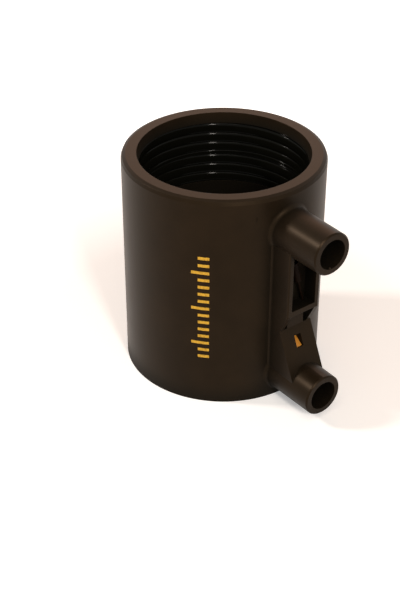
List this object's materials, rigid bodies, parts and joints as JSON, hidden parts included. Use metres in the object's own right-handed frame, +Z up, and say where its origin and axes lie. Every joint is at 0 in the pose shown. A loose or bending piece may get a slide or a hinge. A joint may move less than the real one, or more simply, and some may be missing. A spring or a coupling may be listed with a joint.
{
  "type": "electrofusion coupler",
  "caption": "Black plastic sleeve that welds pipe ends together with a heating wire in its bore, fed through shrouded terminals beside a weld indicator.",
  "frame": {"origin": "on the pipe axis, at the coupler's lower end face", "axes": "+Z up the pipe axis, +X from the axis towards the terminals"},
  "size_m": [0.079, 0.0612, 0.07],
  "materials": {
    "black_polyethylene": "satin",
    "wire_sheath": "semi-gloss",
    "pin_brass": "turned",
    "fuse_case": "semi-gloss",
    "indicator_yellow": "satin"
  },
  "bodies": {
    "root": {"sleeve_body": "black_polyethylene", "heating_coil": "wire_sheath", "contact_pin_upper": "pin_brass", "contact_pin_lower": "pin_brass", "thermal_fuse": "fuse_case", "weld_indicator": "indicator_yellow"}
  },
  "joints": []
}
